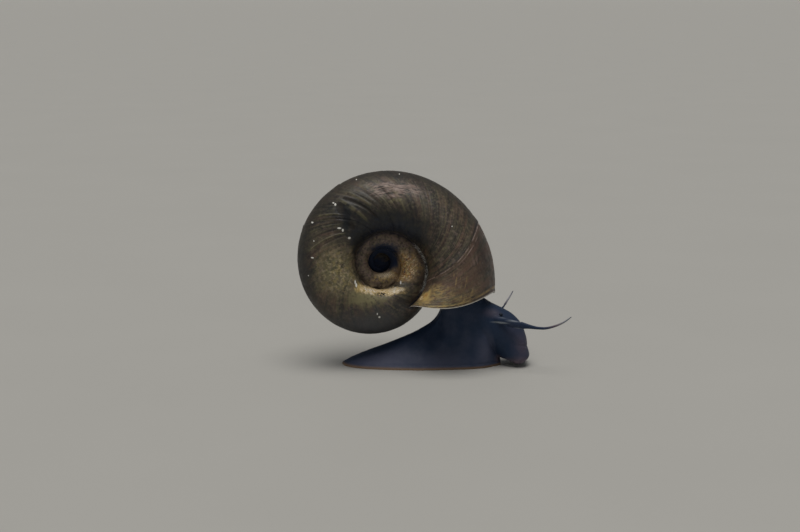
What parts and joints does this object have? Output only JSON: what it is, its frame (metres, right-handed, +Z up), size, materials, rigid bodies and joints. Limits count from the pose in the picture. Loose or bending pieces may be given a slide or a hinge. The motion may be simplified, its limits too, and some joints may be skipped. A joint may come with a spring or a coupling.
{
  "type": "great ramshorn snail",
  "caption": "Still life-size ramshorn pond snail crawling on its sole, with a flat-coiled dark shell carried upright and slender tentacles spread.",
  "frame": {"origin": "on the floor, on the sole under the middle of the foot", "axes": "+X towards the head, +Z up, -Y to the animal's right side, where the deep pit of the shell is"},
  "size_m": [0.0386, 0.0166, 0.0276],
  "materials": {
    "shell": "dark olive-brown horny shell, thin wet gloss over fine growth lines",
    "flesh": "velvety blue-black wet skin",
    "eye": "glossy black bead"
  },
  "bodies": {
    "root": {"shell": "shell", "mantle_collar": "flesh", "neck": "flesh", "head": "flesh", "velum_right": "flesh", "velum_left": "flesh", "foot_front": "flesh", "foot_middle": "flesh", "tail": "flesh", "tentacle_right_base": "flesh", "tentacle_right_middle": "flesh", "tentacle_right_tip": "flesh", "tentacle_left_base": "flesh", "tentacle_left_middle": "flesh", "tentacle_left_tip": "flesh", "eye_right": "eye", "eye_left": "eye"}
  },
  "joints": []
}
